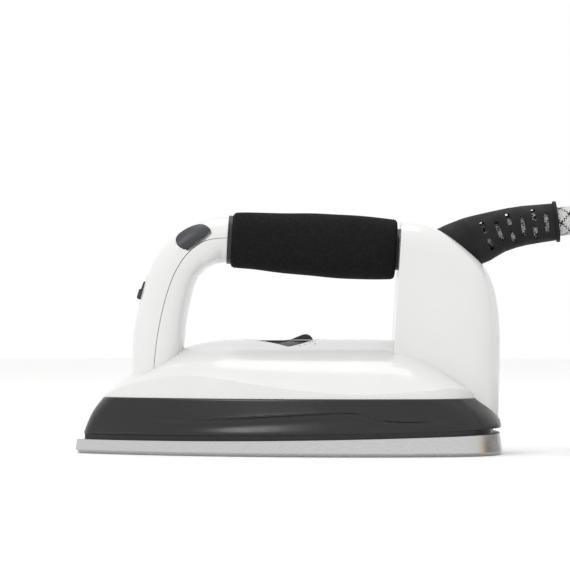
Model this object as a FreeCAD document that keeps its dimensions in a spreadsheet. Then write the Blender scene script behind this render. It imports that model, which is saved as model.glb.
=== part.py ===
import FreeCAD, Part
import math
import os
import Sketcher
from FreeCAD import Placement, Rotation, Vector

# A steam generator iron in millimetres. X runs from the nose (-X) to the heel (+X), Z is up, and
# the origin is the middle of the sole's bottom face. Every visible and inner piece is its own object.

doc = FreeCAD.newDocument("SteamIron")
sheet = doc.addObject("Spreadsheet::Sheet", "Dims")

DIMS = {
    # soleplate
    "sole_nose": -115.15, "sole_heel": 115.15, "sole_half": 58.0, "sole_taper": 1.5,
    "sole_edge": 2.1, "sole_front_top": 7.6, "top_rise": 4.0, "neck_height": 2.9,
    "heel_radius": 190.0, "widest_at": 40.0,
    "core_top": 18.0, "core_inset": 20.0, "chamber_inset": 32.0, "chamber_floor": 3.4,
    "heater_radius": 3.3, "heater_inset": 26.0, "heater_level": 7.2, "heater_end": 84.0,
    "terminal_radius": 2.2, "terminal_length": 18.0, "inlet_x": 72.0,
    "gasket_thick": 0.8, "plate_thick": 1.2, "vent_radius": 1.1, "vent_inset": 36.0,
    # skirt and cover
    "rim_level": 30.4, "wall": 2.4, "cover_lip": 1.0,
    "cover_step": 0.6, "shield_level": 28.8, "shield_thick": 0.8,
    # temperature dial
    "skirt_screw_inset": 10.0, "dial_x": -8.0, "dial_sweep": 21.4, "dial_apex": -26.5,
    "dial_thick": 1.0, "dial_sunk": 0.6,
    "hub_radius": 9.6, "hub_thick": 0.8, "tab_width": 9.0, "spindle_radius": 3.0,
    "thermostat_radius": 11.0, "fuse_radius": 2.5, "fuse_length": 14.0,
    # handle
    "post_wall": 2.4, "seam_gap": 0.35, "core_radius": 9.6, "core_bore": 6.8, "core_length": 99.0,
    "collar_radius": 13.1, "collar_thick": 2.14, "rear_collar_radius": 11.2, "rear_collar_thick": 1.4,
    # steam buttons and mode slider
    "button_proud": 0.9, "button_length": 19.0, "button_width": 11.0, "button_bend": 16.0,
    "button_depth": 3.6, "button_gap": 0.3, "plunger_length": 1.7,
    "spring_outer": 2.7, "spring_inner": 1.9, "spring_length": 3.3,
    "slider_travel": 3.0, "knob_length": 10.0, "knob_width": 8.0, "bezel_length": 17.0,
    "bezel_width": 10.4, "bezel_thick": 1.2, "slot_long": 9.4, "slot_wide": 5.2,
    "switch_body_long": 20.0, "switch_body_wide": 10.0, "switch_body_high": 7.0,
    # rear housing
    "housing_half": 28.0, "housing_round": 14.0, "front_thick": 2.4,
    # hose, boot and coil
    "hose_radius": 7.75, "boot_wall": 1.8, "boot_hole": 9.8, "boot_back": 8.0, "boot_slot": 2.2,
    "boot_ring_radius": 11.1, "boot_ring_bore": 8.1, "boot_ring_thick": 1.6, "coil_x": 258.0, "coil_y": 35.0,
    "coil_inner": 69.5, "coil_outer": 85.5, "coil_top_radius": 77.5, "coil_top_level": 21.1,
    # boiler end of the hose
    "sleeve_length": 14.0, "sleeve_radius": 9.6, "flange_radius": 10.4, "flange_thick": 2.5,
    "nut_flats": 17.0, "nut_length": 10.0, "nipple_radius": 5.5, "nipple_bore": 2.6,
    # small inner parts
    "board_long": 34.0, "board_thick": 1.6, "board_high": 34.0,
    "switch_long": 12.8, "switch_deep": 5.8, "switch_high": 6.4, "plunger_radius": 1.1,
    "screw_radius": 1.5, "screw_head": 2.8, "screw_head_high": 1.8, "tube_outer": 4.0,
    "tube_inner": 2.5, "block_long": 24.0, "block_wide": 11.0, "block_high": 13.0,
    "union_radius": 9.8, "union_length": 8.0, "bracket_thick": 3.0, "loom_radius": 1.6,
}
for row, (name, value) in enumerate(DIMS.items(), start=1):
    sheet.set("A%d" % row, name)
    sheet.set("B%d" % row, "%r" % value)
    sheet.setAlias("B%d" % row, name)
doc.recompute()


def dim(name):
    """A driving dimension, read back from the spreadsheet."""
    return float(sheet.get(name))


MADE = []
UP = Vector(0, 0, 1)


def bind(obj, **links):
    """Ties properties of an object to cells of the spreadsheet."""
    for prop, expression in links.items():
        obj.setExpression(prop.replace("__", "."), expression)
    return obj


def keep(obj, label):
    """Marks an object as a finished sub-part, named by its Label."""
    obj.Label = label
    MADE.append(obj)
    return obj


def feature(label, shape):
    """A sub-part whose shape comes from Part's own functions."""
    obj = doc.addObject("Part::Feature", label)
    obj.Shape = shape
    return keep(obj, label)


def boolean(kind, label, base, tool):
    """A Part::Cut or Part::Common sub-part of two objects of this document."""
    obj = doc.addObject("Part::" + kind, label)
    obj.Base = base
    obj.Tool = tool
    return keep(obj, label)


def along(point, direction, roll=0.0):
    """A placement whose local Z points along direction."""
    turn = Rotation(UP, Vector(*direction)).multiply(Rotation(UP, roll))
    return Placement(Vector(*point), turn)


def cylinder(label, radius, height, place, kept=True):
    """A cylinder with its radius and height bound to the sheet."""
    obj = doc.addObject("Part::Cylinder", label)
    bind(obj, Radius=radius, Height=height)
    obj.Placement = place
    return keep(obj, label) if kept else obj


def box(label, length, width, height, place, kept=True):
    """A box centred on its local X and Y, with its sizes bound to the sheet."""
    obj = doc.addObject("Part::Box", label)
    bind(obj, Length=length, Width=width, Height=height)
    doc.recompute()
    shift = Vector(-obj.Length.Value / 2, -obj.Width.Value / 2, 0)
    obj.Placement = place.multiply(Placement(shift, Rotation()))
    return keep(obj, label) if kept else obj


def plane_of(body, role):
    """One of a body's own origin planes."""
    return [f for f in body.Origin.OriginFeatures if f.Role == role][0]


def new_sketch(body, name, role="XY_Plane"):
    """An empty sketch lying on one of a body's origin planes."""
    sketch = body.newObject("Sketcher::SketchObject", name)
    sketch.AttachmentSupport = [(plane_of(body, role), "")]
    sketch.MapMode = "FlatFace"
    return sketch


def circle(sketch, radius, x=0.0, y=0.0):
    """A circle fixed at a point of the sketch, its radius bound to the sheet."""
    index = sketch.addGeometry(Part.Circle(Vector(x, y, 0), Vector(0, 0, 1), 1.0), False)
    sketch.addConstraint(Sketcher.Constraint("DistanceX", -1, 1, index, 3, x))
    sketch.addConstraint(Sketcher.Constraint("DistanceY", -1, 1, index, 3, y))
    size = sketch.addConstraint(Sketcher.Constraint("Radius", index, 1.0))
    sketch.setExpression("Constraints[%d]" % size, radius)


def polygon(sketch, points):
    """A closed outline of straight edges through fixed points."""
    count = len(points)
    for i in range(count):
        start, end = points[i], points[(i + 1) % count]
        sketch.addGeometry(Part.LineSegment(Vector(*start, 0), Vector(*end, 0)), False)
    for i in range(count):
        sketch.addConstraint(Sketcher.Constraint("Coincident", i, 2, (i + 1) % count, 1))


def padded_body(label, draw, length, place, pockets=()):
    """A PartDesign body: one padded sketch, then any pockets through its whole height."""
    body = doc.addObject("PartDesign::Body", label)
    sketch = new_sketch(body, label + "_outline")
    draw(sketch)
    pad = body.newObject("PartDesign::Pad", label + "_pad")
    pad.Profile = sketch
    pad.setExpression("Length", length)
    doc.recompute()
    for i, cut in enumerate(pockets):
        hole = new_sketch(body, "%s_hole%d" % (label, i))
        cut(hole)
        pocket = body.newObject("PartDesign::Pocket", "%s_pocket%d" % (label, i))
        pocket.Profile = hole
        pocket.Type = 1
        pocket.Reversed = True
        before = pad.Shape.Volume
        doc.recompute()
        if not body.Shape.Volume < before:
            raise ValueError(label + ": a pocket cut nothing")
    body.Placement = place
    return keep(body, label)


def turned_body(label, profile, place):
    """A PartDesign body: a closed (radius, height) profile turned about the local Z axis."""
    body = doc.addObject("PartDesign::Body", label)
    sketch = new_sketch(body, label + "_profile", "XZ_Plane")
    polygon(sketch, profile)
    turn = body.newObject("PartDesign::Revolution", label + "_turn")
    turn.Profile = sketch
    turn.ReferenceAxis = (sketch, ["V_Axis"])
    turn.Angle = 360
    body.Placement = place
    doc.recompute()
    return keep(body, label)


# ---------------------------------------------------------------- outline of six tangent arcs


class Outline:
    """A flat-iron outline: a nose arc, two long side arcs, two corner arcs and a heel arc."""

    def __init__(self, nose, heel, half, nose_r, corner_r):
        self.nose, self.heel, self.half = nose, heel, half
        self.nose_r, self.corner_r = nose_r, corner_r
        self.heel_r = dim("heel_radius")
        reach = dim("widest_at") - nose - nose_r
        self.side_r = (half**2 + reach**2 - nose_r**2) / (2 * (half - nose_r))
        self.side_c = Vector(dim("widest_at"), half - self.side_r, 0)
        self.nose_c = Vector(nose + nose_r, 0, 0)
        self.heel_c = Vector(heel - self.heel_r, 0, 0)
        self.corner_c = self._corner()

    def _corner(self):
        """The corner arc's centre, tangent inside both the side arc and the heel arc."""
        a, b = self.side_r - self.corner_r, self.heel_r - self.corner_r
        gap = self.heel_c - self.side_c
        d = gap.Length
        u = gap * (1 / d)
        s = (a * a - b * b + d * d) / (2 * d)
        t = math.sqrt(a * a - s * s)
        return self.side_c + u * s + Vector(u.y, -u.x, 0) * t

    def inset(self, distance):
        """The same outline moved inwards by a constant distance."""
        nose_r = max(self.nose_r - distance, 1.5)
        corner_r = max(self.corner_r - distance, 4.0)
        return Outline(self.nose + distance, self.heel - distance, self.half - distance, nose_r, corner_r)

    def touch_points(self):
        """Where the arcs meet on the +Y side: nose to side, side to corner, corner to heel."""
        side_dir = (self.nose_c - self.side_c).normalize()
        corner_dir = (self.corner_c - self.side_c).normalize()
        heel_dir = (self.corner_c - self.heel_c).normalize()
        return (
            self.side_c + side_dir * self.side_r,
            self.side_c + corner_dir * self.side_r,
            self.heel_c + heel_dir * self.heel_r,
        )

    def arcs(self, z):
        """The six arcs in order, as edges at height z."""
        one, two, three = self.touch_points()
        mid_side = self.side_c + ((one + two) * 0.5 - self.side_c).normalize() * self.side_r
        mid_corner = self.corner_c + ((two + three) * 0.5 - self.corner_c).normalize() * self.corner_r

        def at(p, mirror=1):
            return Vector(p.x, p.y * mirror, z)

        nose, heel = Vector(self.nose, 0, z), Vector(self.heel, 0, z)
        spans = [
            (at(one, -1), nose, at(one)),
            (at(one), at(mid_side), at(two)),
            (at(two), at(mid_corner), at(three)),
            (at(three), heel, at(three, -1)),
            (at(three, -1), at(mid_corner, -1), at(two, -1)),
            (at(two, -1), at(mid_side, -1), at(one, -1)),
        ]
        return [Part.Arc(*span).toShape() for span in spans]

    def wire(self, z):
        return Part.Wire(self.arcs(z))

    def prism(self, low, high):
        """The solid between two heights."""
        return Part.Face(self.wire(low)).extrude(Vector(0, 0, high - low))

    def half_width(self, x):
        """The distance from the centre line to the outline at x."""
        one, two, three = self.touch_points()
        if x <= self.nose or x >= self.heel:
            return 0.0
        if x < one.x:
            return math.sqrt(self.nose_r**2 - (x - self.nose_c.x) ** 2)
        if x < two.x:
            return self.side_c.y + math.sqrt(self.side_r**2 - (x - self.side_c.x) ** 2)
        if x < three.x or three.x > self.heel - 0.001:
            return self.corner_c.y + math.sqrt(max(self.corner_r**2 - (x - self.corner_c.x) ** 2, 0))
        return math.sqrt(self.heel_r**2 - (x - self.heel_c.x) ** 2)

    def points(self, count, z):
        """Evenly spaced points along the whole outline."""
        return [Vector(p.x, p.y, z) for p in self.wire(z).discretize(Number=count + 1)[:-1]]


def above(front, rise, tall=60.0):
    """A block above a surface that climbs from front at the nose by rise at the heel, as a parabola does."""
    reach = 130.0
    scale = reach / dim("sole_heel")

    def level(x):
        share = (x / dim("sole_heel") + 1) / 2
        return front + rise * share * abs(share)

    low, mid, high = -reach, 0.0, reach
    curve = Part.Arc(Vector(low, 0, level(low)), Vector(mid, 0, level(mid)), Vector(high, 0, level(high)))
    top = front + rise * scale + tall
    sides = [
        Part.LineSegment(Vector(high, 0, level(high)), Vector(high, 0, top)),
        Part.LineSegment(Vector(high, 0, top), Vector(low, 0, top)),
        Part.LineSegment(Vector(low, 0, top), Vector(low, 0, level(low))),
    ]
    face = Part.Face(Part.Wire([curve.toShape()] + [s.toShape() for s in sides]))
    face.translate(Vector(0, -reach, 0))
    return face.extrude(Vector(0, 2 * reach, 0))


def solid_of(shape):
    """The largest solid of a shape, as a plain solid."""
    solids = sorted(shape.Solids, key=lambda s: s.Volume)
    return solids[-1]


def tidy(shape):
    """A boolean's result with its split faces joined again where that works."""
    try:
        joined = shape.removeSplitter()
        return joined if joined.isValid() else shape
    except Exception:
        return shape


# ---------------------------------------------------------------- soleplate and steam chamber

sole_outline = Outline(dim("sole_nose"), dim("sole_heel"), dim("sole_half"), 9.0, 35.0)


def ring_plate(inset, low, thick, hole_inset=None):
    """A flat plate or ring with the iron's outline."""
    plate = sole_outline.inset(inset).prism(low, low + thick)
    if hole_inset:
        plate = plate.cut(sole_outline.inset(hole_inset).prism(low - 1, low + thick + 1))
    return plate


def drilled(shape, spots, radius, low, high):
    """The same shape with round holes through it."""
    for spot in spots:
        shape = shape.cut(Part.makeCylinder(radius, high - low, Vector(spot[0], spot[1], low)))
    return shape


def make_soleplate():
    """The aluminium casting: drafted sides, a raised core that holds the heater, a steam chamber, vents."""
    tall = 14.0
    edge, taper = dim("sole_edge"), dim("sole_taper")
    levels = [
        sole_outline.inset(edge).wire(0),
        sole_outline.wire(edge),
        sole_outline.inset(taper * tall / 12).wire(tall),
    ]
    body = Part.makeLoft(levels, True, True)
    body = body.cut(above(dim("sole_front_top"), dim("top_rise")))
    core = sole_outline.inset(dim("core_inset")).prism(dim("chamber_floor"), dim("core_top"))
    chamber = sole_outline.inset(dim("chamber_inset")).prism(dim("chamber_floor"), dim("core_top") + 1)
    body = body.fuse(core).cut(chamber)
    for hole in vent_holes():
        body = body.cut(hole)
    body = body.cut(heater_sweep())
    for spot in lid_screw_spots():
        body = body.cut(Part.makeCylinder(dim("screw_radius"), 6.0, Vector(*spot, dim("core_top") - 6.0)))
    for spot in terminal_spots():
        body = body.cut(Part.makeCylinder(dim("terminal_radius"), dim("terminal_length"), spot))
    body = drilled(body, SKIRT_SCREWS, dim("screw_radius"), dim("chamber_floor"), 30)
    return solid_of(body)


def vent_holes():
    """Steam vents: a row that follows the outline, and pairs down the middle of the front half."""
    radius, depth = dim("vent_radius"), dim("chamber_floor") + 2
    ring = sole_outline.inset(dim("vent_inset"))
    spots = [(p.x, p.y) for p in ring.points(40, 0)]
    spots += [(x, y) for x in range(-60, 41, 20) for y in (-6.0, 6.0)]
    return [Part.makeCylinder(radius, depth + 1, Vector(x, y, -1)) for x, y in spots]


def heater_path():
    """The heater's centre line: a U round the nose, open at the heel."""
    ring = sole_outline.inset(dim("heater_inset"))
    arcs = ring.arcs(dim("heater_level"))
    side, nose, back = arcs[1], arcs[0], arcs[5]
    start = side.Vertexes[-1].Point
    end_x = dim("heater_end")
    tails = []
    for sign in (1, -1):
        tip = Vector(end_x, start.y * sign, start.z)
        tails.append(Part.LineSegment(Vector(start.x, start.y * sign, start.z), tip).toShape())
    return Part.Wire(Part.__sortEdges__([tails[1], back, nose, side, tails[0]]))


def heater_sweep(radius=None):
    """The tube along the heater's path."""
    path = heater_path()
    start = path.OrderedVertexes[0].Point
    ring = Part.Wire(Part.Circle(start, Vector(1, 0, 0), radius or dim("heater_radius")).toShape())
    return solid_of(path.makePipeShell([ring], True, False, 2))


def terminal_spots():
    """The tops of the heater's two ends, where its cold pins rise."""
    ends = [v.Point for v in heater_path().Vertexes if abs(v.Point.x - dim("heater_end")) < 0.01]
    return [p + Vector(-dim("heater_radius"), 0, 0) for p in ends]


def lid_screw_spots():
    """Where the chamber's lid is screwed down, along its rim."""
    ring = sole_outline.inset((dim("core_inset") + dim("chamber_inset")) / 2)
    return [(p.x, p.y) for p in ring.points(9, 0)]


skirt_screw_line = sole_outline.inset(dim("skirt_screw_inset"))
SKIRT_SCREWS = [(x, sign * skirt_screw_line.half_width(x)) for x in (-45.0, 60.0) for sign in (-1, 1)]

feature("soleplate", make_soleplate())
feature("heating_element", heater_sweep())


def make_chamber_lid():
    """The gasket and lid of the steam chamber, with holes for screws, pins and the steam inlet."""
    base = dim("core_top")
    seal = ring_plate(dim("core_inset") + 1.5, base, dim("gasket_thick"), dim("chamber_inset"))
    lid = ring_plate(dim("core_inset") + 1.5, base + dim("gasket_thick"), dim("plate_thick"))
    top = base + 5
    pins = [(p.x, p.y) for p in terminal_spots()]
    pieces = []
    for plate in (seal, lid):
        plate = drilled(plate, lid_screw_spots(), dim("screw_radius"), base - 1, top)
        plate = drilled(plate, pins, dim("terminal_radius") + 0.8, base - 1, top)
        pieces.append(plate)
    pieces[1] = drilled(pieces[1], [inlet_spot()], dim("tube_inner"), base - 1, top)
    return [solid_of(p) for p in pieces]


def inlet_spot():
    """Where steam enters the chamber, near the heel."""
    return (dim("inlet_x"), 0.0)


gasket, lid = make_chamber_lid()
feature("chamber_gasket", gasket)
feature("steam_chamber_cover", lid)
lid_top = dim("core_top") + dim("gasket_thick") + dim("plate_thick")


def screw(point, direction, length, radius=None, head=None, high=None):
    """A pan-head screw: its head lies on point, and its shank runs against direction."""
    radius = radius or dim("screw_radius")
    head = head or dim("screw_head")
    high = high or dim("screw_head_high")
    up = Vector(*direction).normalize()
    base = Vector(*point)
    shank = Part.makeCylinder(radius, length, base, up * -1)
    cap = Part.makeCylinder(head, high, base, up)
    slot = Part.makeBox(head * 2.4, 0.7, 0.8, Vector(-head * 1.2, -0.35, high - 0.7))
    slot.Placement = along(base, up).multiply(Placement(Vector(), Rotation()))
    slot = slot.copy()
    return solid_of(shank.fuse(cap).cut(slot))


def group(label, shapes):
    """Several identical pieces in one node, each a solid of its own."""
    return feature(label, Part.makeCompound(shapes))


group("chamber_screws", [screw((*s, lid_top), (0, 0, 1), 7.0) for s in lid_screw_spots()])
group("heater_terminals", [
    Part.makeCylinder(dim("terminal_radius"), dim("terminal_length"), p + Vector(0, 0, dim("heater_radius")))
    for p in terminal_spots()
])


# ---------------------------------------------------------------- neck, skirt and top cover

NECK_INSET = {"outer": 5.0, "inner": 13.0}


def make_neck():
    """The black heat-resistant ring between the sole and the skirt."""
    ring = ring_plate(NECK_INSET["outer"], 2.0, 16.0, NECK_INSET["inner"])
    front, rise, gap = dim("sole_front_top"), dim("top_rise"), dim("neck_height")
    neck = ring.common(above(front, rise)).cut(above(front + gap, rise))
    return solid_of(drilled(neck, SKIRT_SCREWS, dim("screw_radius"), 0, 30))


def rise_at(x):
    """How much higher the sole's top, and all that follows it, lies at x than at the nose."""
    share = (x / dim("sole_heel") + 1) / 2
    return dim("top_rise") * share * share


feature("sole_spacer", make_neck())

# Height, nose, heel and half width of the skirt's outer surface, from its bottom edge to its flat top.
SKIRT_LEVELS = [
    (9.0, -111.3, 114.9, 56.0),
    (16.0, -108.8, 113.6, 54.8),
    (23.0, -105.4, 109.5, 52.9),
    (30.4, -99.8, 102.7, 50.4),
]


def skirt_loft(inset, grow_low=0.0):
    """The skirt's outer form, or the same form moved inwards."""
    wires = []
    for z, nose, heel, half in SKIRT_LEVELS:
        nose_r = 9.0 + (z - 9.0) * 0.35
        outline = Outline(nose, heel, half, nose_r, 35.0).inset(inset)
        wires.append(outline.wire(z - grow_low if z < 10 else z + (0.01 if inset else 0)))
    return solid_of(Part.makeLoft(wires, True, False))


skirt_floor = above(dim("sole_front_top") + dim("neck_height"), dim("top_rise"))
skirt_full = skirt_loft(0.0).common(skirt_floor)


def make_skirt():
    """The black skirt: a shell with an inner ledge that the neck and the screws hold."""
    wall = dim("wall")
    inner = skirt_loft(wall, 2.0)
    shell = skirt_full.cut(inner)
    ledge = ring_plate(NECK_INSET["outer"] - 1.5, 8.0, 12.0, NECK_INSET["inner"] + 2)
    front = dim("sole_front_top") + dim("neck_height")
    ledge = ledge.common(above(front, dim("top_rise"))).cut(above(front + wall, dim("top_rise")))
    ledge = drilled(ledge, SKIRT_SCREWS, dim("screw_radius"), 0, 30)
    return solid_of(shell.fuse(ledge.common(skirt_full)))


feature("skirt", make_skirt())
skirt_screw_top = dim("sole_front_top") + dim("neck_height") + dim("wall")
group("skirt_screws", [
    screw((x, y, skirt_screw_top + rise_at(x) + 0.1), (0, 0, 1), 9.0) for x, y in SKIRT_SCREWS
])

rim = dim("rim_level")
rim_outline = Outline(-99.8, 102.7, 50.4, 16.5, 35.0).inset(dim("cover_step"))

# Station, crown height above the lip, and half width of the arc across the top cover.
COVER_STATIONS = [
    (-99.5, 0.5, 9.0), (-94.0, 4.7, 17.0), (-85.4, 11.1, 24.0), (-72.0, 18.8, 31.0),
    (-57.1, 25.1, 37.5), (-40.0, 29.0, 42.5), (-20.0, 29.9, 46.5), (6.0, 30.0, 49.5),
    (33.0, 29.9, 50.5), (55.8, 29.4, 50.5), (66.0, 27.6, 50.5), (75.0, 22.8, 50.5),
    (84.3, 16.0, 50.5), (92.2, 8.7, 50.5), (98.0, 2.6, 50.5), (104.0, 0.4, 50.5),
]


def cover_loft(sink):
    """The cover's domed form, lowered and narrowed by the same amount all over."""
    lip = rim + dim("cover_lip")
    wires = []
    for x, crown, half in COVER_STATIONS:
        half = max(half - sink, 2.0)
        top = Vector(x, 0, lip + crown - sink)
        left, right = Vector(x, -half, lip - sink), Vector(x, half, lip - sink)
        drop = Vector(0, 0, -8)
        edges = [
            Part.Arc(left, top, right).toShape(),
            Part.LineSegment(right, right + drop).toShape(),
            Part.LineSegment(right + drop, left + drop).toShape(),
            Part.LineSegment(left + drop, left).toShape(),
        ]
        wires.append(Part.Wire(edges))
    return solid_of(Part.makeLoft(wires, True, False))


def cover_form(sink, inset):
    """The filled dome above the rim."""
    return solid_of(cover_loft(sink).common(rim_outline.inset(inset).prism(rim - 0.0, rim + 40)))


cover_full = cover_form(0.0, 0.0)


def fan_prism(grow, low=40.0, high=70.0):
    """The upright prism of the dial insert: a rounded corner at the nose side and a wide far arc."""
    radius = dim("dial_sweep") + grow
    centre = Vector(dim("dial_x"), 0, low)
    apex = Vector(dim("dial_apex") - grow * 1.5, 0, low)
    spread = math.radians(69.0)
    corner = centre + Vector(math.cos(spread), math.sin(spread), 0) * radius
    far = centre + Vector(radius, 0, 0)
    mirror = Vector(corner.x, -corner.y, corner.z)
    edges = [
        Part.Arc(corner, far, mirror).toShape(),
        Part.LineSegment(mirror, apex).toShape(),
        Part.LineSegment(apex, corner).toShape(),
    ]
    prism = Part.Face(Part.Wire(edges)).extrude(Vector(0, 0, high - low))
    upright = [e for e in prism.Edges if len(e.Vertexes) == 2 and abs(e.Length - (high - low)) < 0.01]
    return solid_of(prism.makeFillet(1.6 + grow, upright))


def make_cover():
    """The white dome: a shell with the dial's recess and holes for the spindle, steam pipe and wires."""
    wall = dim("wall")
    shell = cover_full.cut(cover_loft(wall).common(rim_outline.inset(wall).prism(rim - 1, rim + 40)))
    sunk = dim("dial_sunk") + dim("dial_thick")
    recess = fan_prism(0.15).cut(cover_loft(sunk))
    shell = shell.cut(recess)
    shell = drilled(shell, [(dim("dial_x"), 0)], dim("spindle_radius") + 0.25, rim, rim + 40)
    shell = drilled(shell, [inlet_spot()], dim("tube_outer") + 0.1, rim, rim + 40)
    shell = drilled(shell, [(-72.0, 0.0)], 4.0, rim, rim + 40)
    return solid_of(shell)


def make_dial_insert():
    """The fan-shaped black plate sunk into the dome, with a round pocket for the lever's hub."""
    low, high = dim("dial_sunk") + dim("dial_thick"), dim("dial_sunk")
    plate = fan_prism(0.0).common(cover_loft(high)).cut(cover_loft(low))
    return solid_of(drilled(plate, [(dim("dial_x"), 0)], dim("hub_radius") + 0.3, rim, rim + 40))


feature("top_cover", make_cover())
feature("dial_insert", make_dial_insert())


def make_lever():
    """The temperature lever: a flat hub with an overhanging thumb tab."""
    x, radius = dim("dial_x"), dim("hub_radius")
    top = rim + dim("cover_lip") + 30.0 - dim("dial_sunk") - 0.1
    base = top - dim("hub_thick")
    hub = Part.makeCylinder(radius, dim("hub_thick"), Vector(x, 0, base))
    profile = [
        (x + 5.0, base + 0.2), (x + 5.0, top), (x + 8.6, top + 0.3), (x + 15.5, top + 3.1),
        (x + 17.6, top + 3.4), (x + 19.4, top + 2.7), (x + 20.6, top + 1.6), (x + 21.0, top + 0.4),
        (x + radius + 0.7, top + 0.35), (x + 8.2, top + 0.15), (x + 8.2, base + 0.2),
    ]
    half = dim("tab_width") / 2
    points = [Vector(px, -half, pz) for px, pz in profile]
    tab = Part.Face(Part.makePolygon(points + points[:1])).extrude(Vector(0, 2 * half, 0))
    return solid_of(tidy(hub.fuse(tab)))


feature("temperature_lever", make_lever())
hub_base = rim + dim("cover_lip") + 30.0 - dim("dial_sunk") - 0.1 - dim("hub_thick")

sheet.set("D1", "thermostat_high")
sheet.set("E1", "8.0")
sheet.setAlias("E1", "thermostat_high")
sheet.set("E2", "%r" % (hub_base - lid_top - 8.0))
sheet.setAlias("E2", "spindle_length")
doc.recompute()

cylinder("thermostat_body", "Dims.thermostat_radius", "Dims.thermostat_high",
         along((dim("dial_x"), 0, lid_top), (0, 0, 1)))
cylinder("thermostat_spindle", "Dims.spindle_radius", "Dims.spindle_length",
         along((dim("dial_x"), 0, lid_top + 8.0), (0, 0, 1)))
cylinder("thermal_fuse", "Dims.fuse_radius", "Dims.fuse_length",
         along((22.0, -8.0, lid_top + dim("fuse_radius")), (1, 0, 0)))

# ---------------------------------------------------------------- heat shield and steam inlet

shield = skirt_loft(dim("wall")).common(
    Part.makeBox(300, 200, dim("shield_thick"), Vector(-150, -100, dim("shield_level"))))
shield = drilled(shield, [(dim("dial_x"), 0)], dim("thermostat_radius") + 1.5, 20, 34)
shield = drilled(shield, [inlet_spot()], dim("tube_outer"), 20, 34)
shield = drilled(shield, [(p.x, p.y) for p in terminal_spots()], 4.0, 20, 34)
shield = drilled(shield, [(-72.0, 0.0)], 4.0, 20, 34)
feature("heat_shield", solid_of(shield))

inlet = Part.makeCylinder(dim("tube_outer"), 22.0, Vector(*inlet_spot(), lid_top))
inlet = inlet.cut(Part.makeCylinder(dim("tube_inner"), 22.0, Vector(*inlet_spot(), lid_top)))
feature("steam_inlet", solid_of(inlet))
inlet_top = lid_top + 22.0

# ---------------------------------------------------------------- rear housing

# The housing's side view: its sloping front, then its top and back down to the upright rear line.
HOUSING_FRONT = [(55.6, 48.0), (60.4, 124.4)]
HOUSING_BACK = [
    (60.4, 124.4), (69.0, 123.6), (78.3, 121.0), (87.0, 116.0), (96.0, 108.9), (104.0, 101.3),
    (108.6, 93.3), (111.4, 83.0), (112.8, 72.0), (113.3, 60.0),
]
HOUSING_FOOT = (112.7, 18.7)


def housing_form(shrink, open_front=0.0):
    """The housing's filled form, moved inwards by shrink, with its front pushed out by open_front."""
    curve = Part.BSplineCurve()
    curve.interpolate([Vector(x, 0, z) for x, z in HOUSING_BACK])
    points = []
    first, last = curve.FirstParameter, curve.LastParameter
    count = 9
    for i in range(count + 1):
        at = first + (last - first) * i / count
        slope = curve.tangent(at)[0]
        points.append(curve.value(at) - Vector(-slope.z, 0, slope.x) * shrink)
    half = dim("housing_half") - shrink
    inner = Part.BSplineCurve()
    inner.interpolate(points)
    start, end = points[0] + Vector(-open_front, 0, 0), points[-1]
    foot = Vector(HOUSING_FOOT[0] - shrink, 0, HOUSING_FOOT[1])
    toe = Vector(HOUSING_FRONT[0][0] - open_front, 0, HOUSING_FOOT[1])
    knee = Vector(HOUSING_FRONT[0][0] - open_front, 0, HOUSING_FRONT[0][1])
    edges = [inner.toShape()]
    if open_front:
        edges.insert(0, Part.LineSegment(start, points[0]).toShape())
    corners = [end, foot, toe, knee, start]
    for one, two in zip(corners, corners[1:]):
        edges.append(Part.LineSegment(one, two).toShape())
    face = Part.Face(Part.Wire(Part.__sortEdges__(edges)))
    face.translate(Vector(0, -half, 0))
    body = face.extrude(Vector(0, 2 * half, 0))
    long_edges = []
    for edge in body.Edges:
        box_ = edge.BoundBox
        flat = box_.YLength < 0.01
        on_back = box_.XMax > HOUSING_FOOT[0] - shrink - 1.0 and box_.XMin > 50 and box_.ZLength > 30
        if flat and on_back and box_.ZMin < 62:
            long_edges.append(edge)
    return solid_of(body.makeFillet(dim("housing_round") - shrink, long_edges))


housing_full = housing_form(0.0)
hollow_block = housing_form(dim("wall"), 8.0)


def make_housing():
    """The white rear housing: a shell on the cover and skirt, open at the front, with the hose's hole."""
    shell = housing_full.cut(hollow_block)
    shell = shell.cut(cover_full).cut(skirt_loft(0.0)).cut(rim_outline.prism(rim - 20, rim + 0.5))
    start, direction = hose_way(dim("boot_back"))
    hole = Part.makeCylinder(dim("boot_hole"), 60, start, direction)
    shell = shell.cut(hole)
    return solid_of(shell)


def make_front_plate():
    """The plate that closes the housing's front and carries the grip's rear end."""
    (x0, z0), (x1, z1) = HOUSING_FRONT
    lean = Vector(x1 - x0, 0, z1 - z0).normalize()
    inward = Vector(lean.z, 0, -lean.x) * dim("front_thick")
    low, high = Vector(x0, 0, z0) - lean * 30, Vector(x1, 0, z1) + lean * 10
    corners = [low, high, high + inward, low + inward, low]
    half = 40.0
    slab = Part.Face(Part.makePolygon(corners))
    slab.translate(Vector(0, -half, 0))
    slab = slab.extrude(Vector(0, 2 * half, 0))
    plate = slab.common(hollow_block).cut(cover_full)
    plate = plate.common(Part.makeBox(200, 100, 200, Vector(0, -50, rim + 1)))
    return solid_of(plate.cut(core_cylinder(dim("core_radius"))))


# ---------------------------------------------------------------- handle

GRIP_START = Vector(-32.9, 0, 115.1)
GRIP_END = Vector(59.6, 0, 109.7)
GRIP_WAY = (GRIP_END - GRIP_START).normalize()


def core_cylinder(radius):
    """A round bar along the grip's axis, from inside the post to inside the housing."""
    return Part.makeCylinder(radius, dim("core_length"), GRIP_START - GRIP_WAY * 2.5, GRIP_WAY)


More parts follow.
